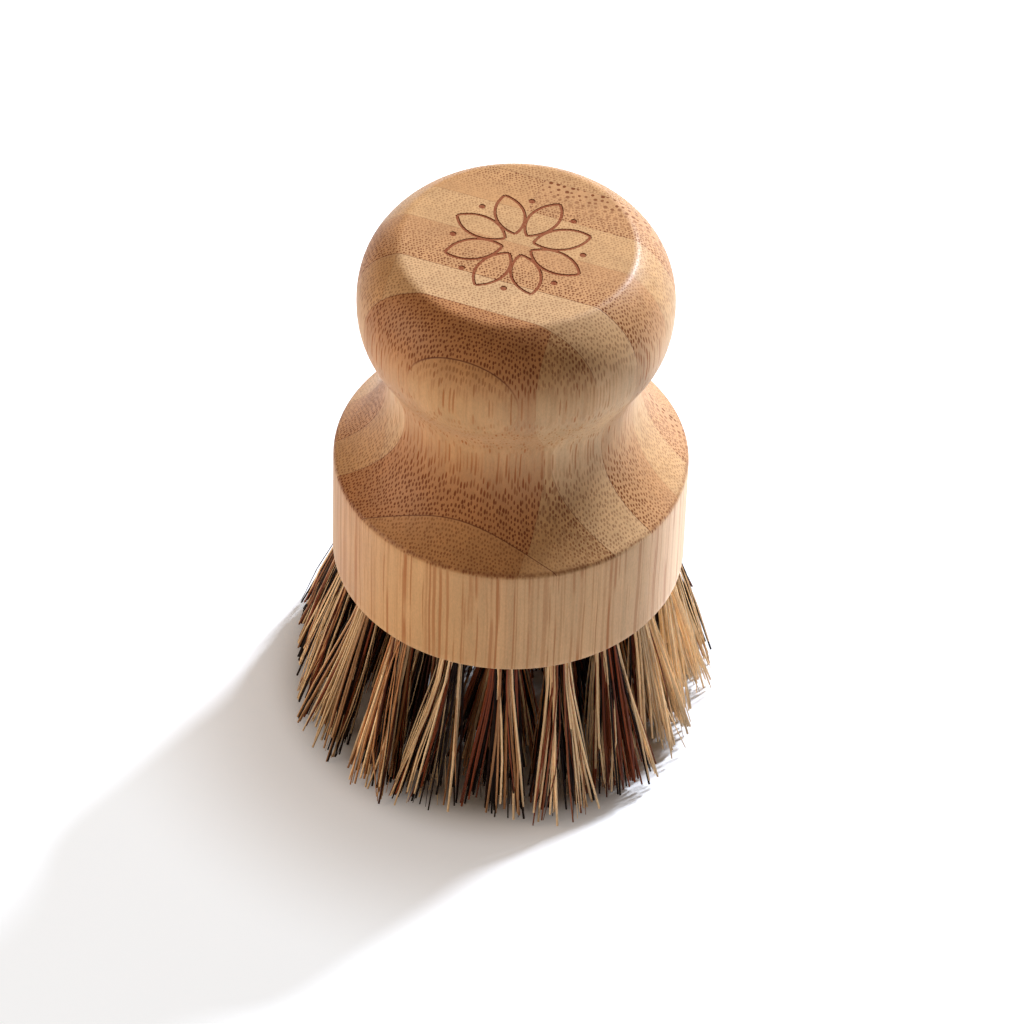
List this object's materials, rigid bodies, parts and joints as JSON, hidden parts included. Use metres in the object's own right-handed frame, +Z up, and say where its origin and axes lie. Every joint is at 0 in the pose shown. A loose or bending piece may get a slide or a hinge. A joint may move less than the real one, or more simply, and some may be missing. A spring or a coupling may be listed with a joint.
{
  "type": "palm scrub brush",
  "caption": "Round palm-grip scrub brush: turned bamboo knob handle with a wide base, and short splayed tufts of stiff natural fibre underneath.",
  "frame": {"origin": "on the turning axis, on the surface that the bristle tips stand on", "axes": "+Z up along the turning axis to the flat top; the picture looks along +Y from above, with +X to its right"},
  "size_m": [0.0642, 0.0648, 0.0869],
  "materials": {
    "bamboo": "sanded and oiled laminated bamboo, satin",
    "straw_fibre": "dry plant fibre, pale straw, matt to satin",
    "palm_fibre": "dry palm fibre, red-brown to near black, satin",
    "flat_wire": "cut flat wire, bright"
  },
  "bodies": {
    "root": {"turned_handle": "bamboo", "tuft_outer_01": "straw_fibre", "staple_outer_01": "flat_wire", "tuft_outer_02": "palm_fibre", "staple_outer_02": "flat_wire", "tuft_outer_03": "straw_fibre", "staple_outer_03": "flat_wire", "tuft_outer_04": "palm_fibre", "staple_outer_04": "flat_wire", "tuft_outer_05": "straw_fibre", "staple_outer_05": "flat_wire", "tuft_outer_06": "palm_fibre", "staple_outer_06": "flat_wire", "tuft_outer_07": "straw_fibre", "staple_outer_07": "flat_wire", "tuft_outer_08": "palm_fibre", "staple_outer_08": "flat_wire", "tuft_outer_09": "straw_fibre", "staple_outer_09": "flat_wire", "tuft_outer_10": "palm_fibre", "staple_outer_10": "flat_wire", "tuft_outer_11": "straw_fibre", "staple_outer_11": "flat_wire", "tuft_outer_12": "palm_fibre", "staple_outer_12": "flat_wire", "tuft_outer_13": "straw_fibre", "staple_outer_13": "flat_wire", "tuft_outer_14": "palm_fibre", "staple_outer_14": "flat_wire", "tuft_outer_15": "straw_fibre", "staple_outer_15": "flat_wire", "tuft_outer_16": "palm_fibre", "staple_outer_16": "flat_wire", "tuft_outer_17": "straw_fibre", "staple_outer_17": "flat_wire", "tuft_outer_18": "palm_fibre", "staple_outer_18": "flat_wire", "tuft_middle_01": "straw_fibre", "staple_middle_01": "flat_wire", "tuft_middle_02": "palm_fibre", "staple_middle_02": "flat_wire", "tuft_middle_03": "straw_fibre", "staple_middle_03": "flat_wire", "tuft_middle_04": "palm_fibre", "staple_middle_04": "flat_wire", "tuft_middle_05": "straw_fibre", "staple_middle_05": "flat_wire", "tuft_middle_06": "palm_fibre", "staple_middle_06": "flat_wire", "tuft_middle_07": "straw_fibre", "staple_middle_07": "flat_wire", "tuft_middle_08": "palm_fibre", "staple_middle_08": "flat_wire", "tuft_centre_01": "straw_fibre", "staple_centre_01": "flat_wire"}
  },
  "joints": []
}
